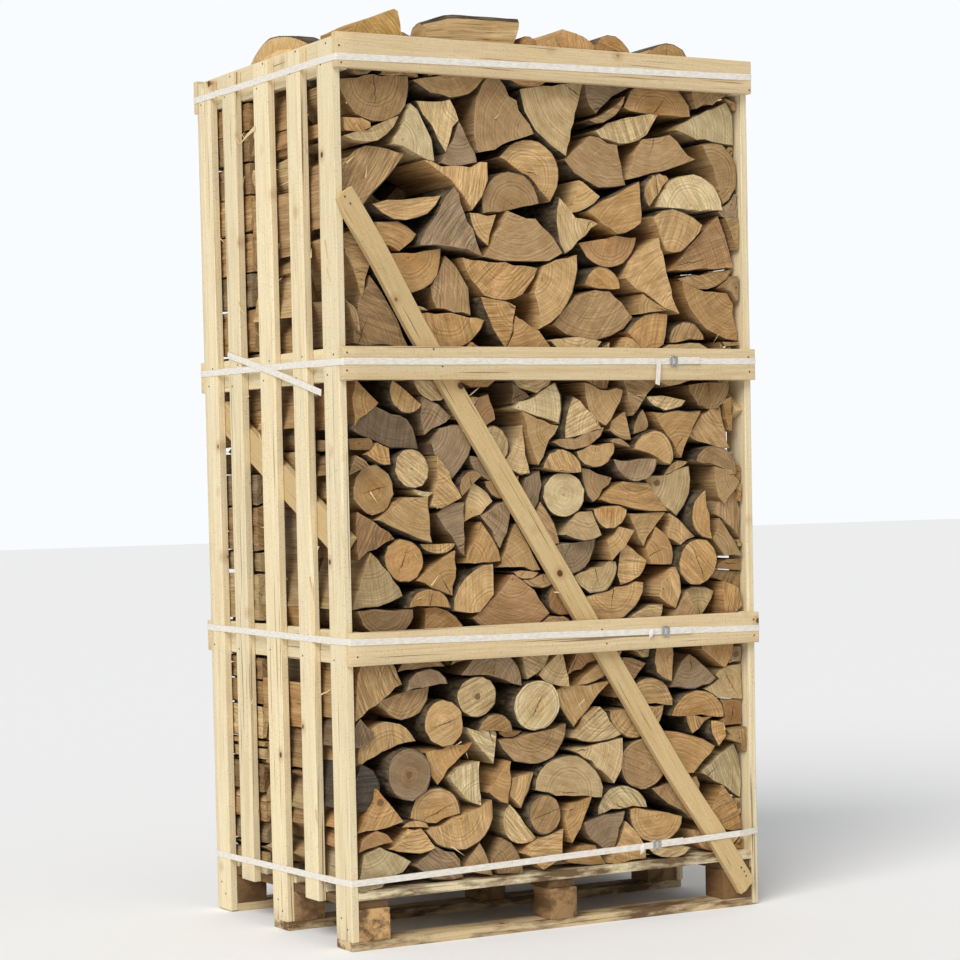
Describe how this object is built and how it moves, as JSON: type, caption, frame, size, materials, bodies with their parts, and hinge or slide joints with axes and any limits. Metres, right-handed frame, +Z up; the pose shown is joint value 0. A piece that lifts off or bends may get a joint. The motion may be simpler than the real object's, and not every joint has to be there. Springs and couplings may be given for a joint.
{
  "type": "firewood bundle",
  "caption": "Tall pallet crate with slatted sides, diagonal braces and strap bands, filled and heaped with split firewood logs.",
  "frame": {"origin": "on the ground under the middle of the whole crate, centre of the bounding box's underside", "axes": "+Z up, -Y the front with the long brace and the buckles, +X to the right seen from the front"},
  "size_m": [1.2038, 0.8504, 2.2761],
  "materials": {
    "crate_board": "rough-sawn pale softwood, dry, with nail heads",
    "pallet_board": "rough-sawn softwood, weathered and stained",
    "firewood": "split hardwood: sawn ends, torn split faces and dark bark",
    "strap": "white corded polyester strapping",
    "buckle": "galvanised wire"
  },
  "bodies": {
    "root": {"skid_front": "pallet_board", "block_front_left": "pallet_board", "block_front_middle": "pallet_board", "block_front_right": "pallet_board", "skid_middle": "pallet_board", "block_middle_left": "pallet_board", "block_middle_middle": "pallet_board", "block_middle_right": "pallet_board", "skid_back": "pallet_board", "block_back_left": "pallet_board", "block_back_middle": "pallet_board", "block_back_right": "pallet_board", "stringer_left": "pallet_board", "stringer_middle": "pallet_board", "stringer_right": "pallet_board", "deck_1": "pallet_board", "deck_2": "pallet_board", "deck_3": "pallet_board", "deck_4": "pallet_board", "deck_5": "pallet_board", "left_post_front": "crate_board", "left_slat_front": "crate_board", "left_post_middle": "crate_board", "left_slat_back": "crate_board", "left_post_back": "crate_board", "left_rail_top": "crate_board", "left_rail_upper": "crate_board", "left_rail_lower": "crate_board", "left_brace": "crate_board", "right_post_front": "crate_board", "right_slat_front": "crate_board", "right_post_middle": "crate_board", "right_slat_back": "crate_board", "right_post_back": "crate_board", "right_rail_top": "crate_board", "right_rail_upper": "crate_board", "right_rail_lower": "crate_board", "right_brace": "crate_board", "front_rail_top": "crate_board", "front_rail_upper": "crate_board", "front_rail_lower": "crate_board", "front_brace": "crate_board", "back_rail_top": "crate_board", "back_rail_upper": "crate_board", "back_rail_lower": "crate_board", "back_brace": "crate_board", "strap_top": "strap", "strap_upper": "strap", "strap_lower": "strap", "strap_bottom": "strap", "strap_loose_end": "strap", "buckle_upper": "buckle", "buckle_lower": "buckle", "buckle_bottom": "buckle", "logs_front": "firewood", "logs_middle": "firewood", "logs_back": "firewood", "heap_flitch": "firewood", "heap_wedge": "firewood", "heap_half_round": "firewood"}
  },
  "joints": []
}
